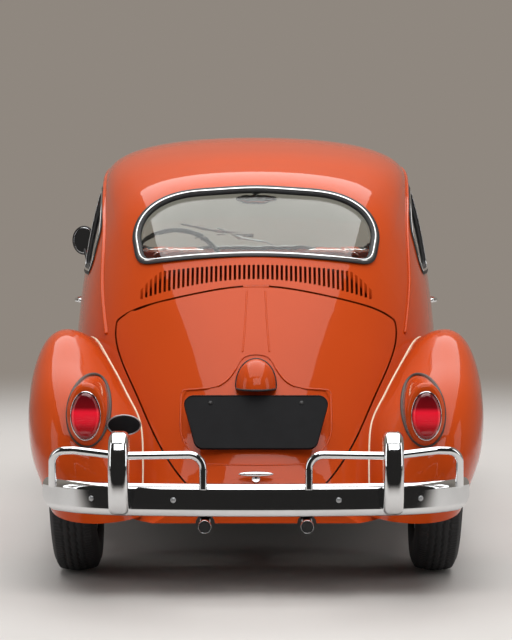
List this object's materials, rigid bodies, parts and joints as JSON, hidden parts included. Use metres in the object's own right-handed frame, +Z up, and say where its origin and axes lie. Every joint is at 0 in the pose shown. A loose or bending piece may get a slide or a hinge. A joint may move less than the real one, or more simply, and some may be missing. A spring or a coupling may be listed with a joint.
{
  "type": "rear-engine compact car",
  "caption": "Rounded two-door rear-engine compact car with separate wings, chrome bumpers with guards and over-rails, louvred tail and egg-shaped tail lamps.",
  "frame": {"origin": "on the ground, under the middle of the overall length and width", "axes": "+X to the car's right, +Y towards its nose, +Z up"},
  "size_m": [1.5478, 4.07, 1.5007],
  "materials": {
    "body_paint": "gloss",
    "dark_metal": "satin",
    "chrome": "polished",
    "glass": "polished",
    "red_lens": "gloss",
    "seat": "satin",
    "black_plastic": "matt",
    "tyre": "matt",
    "rim": "satin"
  },
  "bodies": {
    "chassis": {"body_shell": "body_paint", "floor_pan": "dark_metal", "front_fender_right": "body_paint", "front_fender_left": "body_paint", "rear_fender_right": "body_paint", "rear_fender_left": "body_paint", "running_boards": "dark_metal", "front_bumper": "chrome", "rear_bumper": "chrome", "windshield": "glass", "rear_window": "glass", "quarter_windows": "glass", "headlamps": "chrome", "taillamps": "body_paint", "taillamp_lenses": "red_lens", "front_seats": "seat", "rear_seat": "seat", "dashboard": "black_plastic", "steering_column": "dark_metal", "gear_lever": "dark_metal", "front_axle_beam": "dark_metal", "rear_axle": "dark_metal", "engine": "dark_metal", "exhaust": "dark_metal"},
    "steering_wheel": {"steering_wheel": "black_plastic"},
    "knuckle_right": {"knuckle_front_right": "dark_metal"},
    "knuckle_left": {"knuckle_front_left": "dark_metal"},
    "door_right": {"door_right": "body_paint", "door_glass_right": "glass"},
    "door_left": {"door_left": "body_paint", "door_glass_left": "glass", "mirror_left": "black_plastic"},
    "hood": {"hood": "body_paint"},
    "engine_lid": {"engine_lid": "body_paint", "number_plate": "black_plastic", "plate_lamp": "body_paint", "lid_handle": "chrome"},
    "wheel_front_right": {"tyre_front_right": "tyre", "rim_front_right": "rim", "hubcap_front_right": "chrome"},
    "wheel_front_left": {"tyre_front_left": "tyre", "rim_front_left": "rim", "hubcap_front_left": "chrome"},
    "wheel_rear_right": {"tyre_rear_right": "tyre", "rim_rear_right": "rim", "hubcap_rear_right": "chrome"},
    "wheel_rear_left": {"tyre_rear_left": "tyre", "rim_rear_left": "rim", "hubcap_rear_left": "chrome"}
  },
  "joints": [
    {"name": "steer_left", "type": "hinge", "parent": "chassis", "child": "knuckle_left", "pos_m": [-0.5805, 1.27, 0.325], "axis": [0, 0, 1], "range_deg": [-28, 28]},
    {"name": "steer_right", "type": "hinge", "parent": "chassis", "child": "knuckle_right", "pos_m": [0.5805, 1.27, 0.325], "axis": [0, 0, 1], "range_deg": [-28, 28]},
    {"name": "steering_wheel_turn", "type": "hinge", "parent": "chassis", "child": "steering_wheel", "pos_m": [-0.33, 0.442, 0.975], "axis": [0, -0.788, 0.6157], "range_deg": [-392, 392]},
    {"name": "wheel_spin_front_left", "type": "hinge", "parent": "knuckle_left", "child": "wheel_front_left", "pos_m": [-0.6525, 1.27, 0.325], "axis": [-1, 0, 0], "continuous": true},
    {"name": "wheel_spin_front_right", "type": "hinge", "parent": "knuckle_right", "child": "wheel_front_right", "pos_m": [0.6525, 1.27, 0.325], "axis": [1, 0, 0], "continuous": true},
    {"name": "wheel_spin_rear_left", "type": "hinge", "parent": "chassis", "child": "wheel_rear_left", "pos_m": [-0.62, -1.13, 0.325], "axis": [-0.9994, 0, -0.0349], "continuous": true},
    {"name": "wheel_spin_rear_right", "type": "hinge", "parent": "chassis", "child": "wheel_rear_right", "pos_m": [0.62, -1.13, 0.325], "axis": [0.9994, 0, -0.0349], "continuous": true},
    {"name": "door_right_hinge", "type": "hinge", "parent": "chassis", "child": "door_right", "pos_m": [0.63166, 0.76204, 0.72], "axis": [0, 0, 1], "range_deg": [0, 65]},
    {"name": "door_left_hinge", "type": "hinge", "parent": "chassis", "child": "door_left", "pos_m": [-0.63166, 0.76204, 0.72], "axis": [0, 0, -1], "range_deg": [0, 65]},
    {"name": "hood_hinge", "type": "hinge", "parent": "chassis", "child": "hood", "pos_m": [0, 0.908, 1.02534], "axis": [1, 0, 0], "range_deg": [0, 50]},
    {"name": "engine_lid_hinge", "type": "hinge", "parent": "chassis", "child": "engine_lid", "pos_m": [0, -1.1988, 0.982], "axis": [-1, 0, 0], "range_deg": [0, 50]}
  ],
  "couplings": [
    {"joint": "steer_right", "follows": "steer_left", "ratio": 1},
    {"joint": "steering_wheel_turn", "follows": "steer_left", "ratio": 14}
  ]
}
